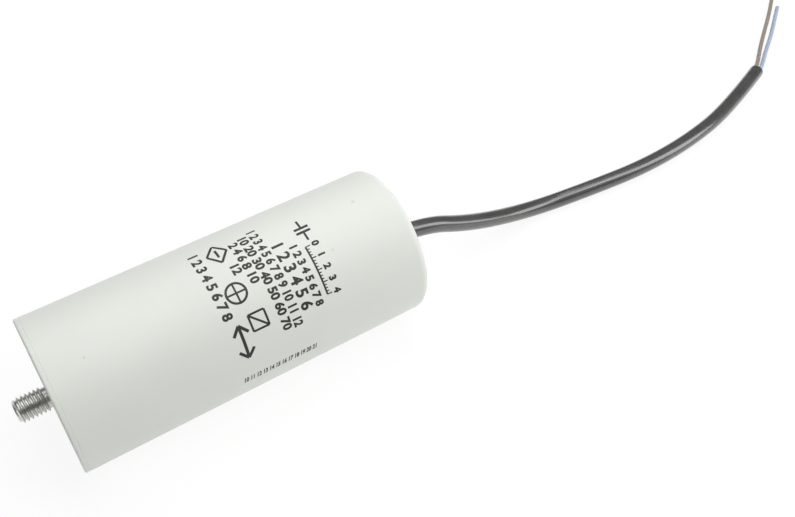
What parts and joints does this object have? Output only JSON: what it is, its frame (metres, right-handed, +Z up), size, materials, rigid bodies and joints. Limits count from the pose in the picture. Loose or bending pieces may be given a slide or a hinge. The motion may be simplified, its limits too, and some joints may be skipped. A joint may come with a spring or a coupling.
{
  "type": "motor run capacitor",
  "caption": "Round plastic motor run capacitor lying on its side, with a threaded mounting stud on one end and a two-core cable out of the other.",
  "frame": {"origin": "on the floor, under the middle of the body from the stud's tip to the cable end", "axes": "+X along the can from the stud to the cable end, +Z up, the can lying on its side"},
  "size_m": [0.3819, 0.0782, 0.05],
  "materials": {
    "white_plastic": "satin",
    "plated_steel": "zinc plated",
    "core_plastic": "matt",
    "film": "metallised film, edges of the turns",
    "wrap_film": "clear film",
    "sprayed_zinc": "rough sprayed metal",
    "shield_plastic": "matt",
    "brown_insulation": "satin",
    "blue_insulation": "satin",
    "solder": "bright",
    "resin": "cast",
    "black_sheath": "satin",
    "copper": "cut strands"
  },
  "bodies": {
    "root": {"case": "white_plastic", "end_cap": "white_plastic", "mounting_stud": "plated_steel", "winding_core": "core_plastic", "film_winding": "film", "winding_wrap": "wrap_film", "stud_side_contact": "sprayed_zinc", "cable_side_contact": "sprayed_zinc", "stud_side_shield": "shield_plastic", "cable_side_shield": "shield_plastic", "brown_lead": "brown_insulation", "blue_lead": "blue_insulation", "brown_solder": "solder", "blue_solder": "solder", "potting_resin": "resin", "cable_sheath": "black_sheath", "brown_tail": "brown_insulation", "blue_tail": "blue_insulation", "brown_copper": "copper", "blue_copper": "copper"}
  },
  "joints": []
}
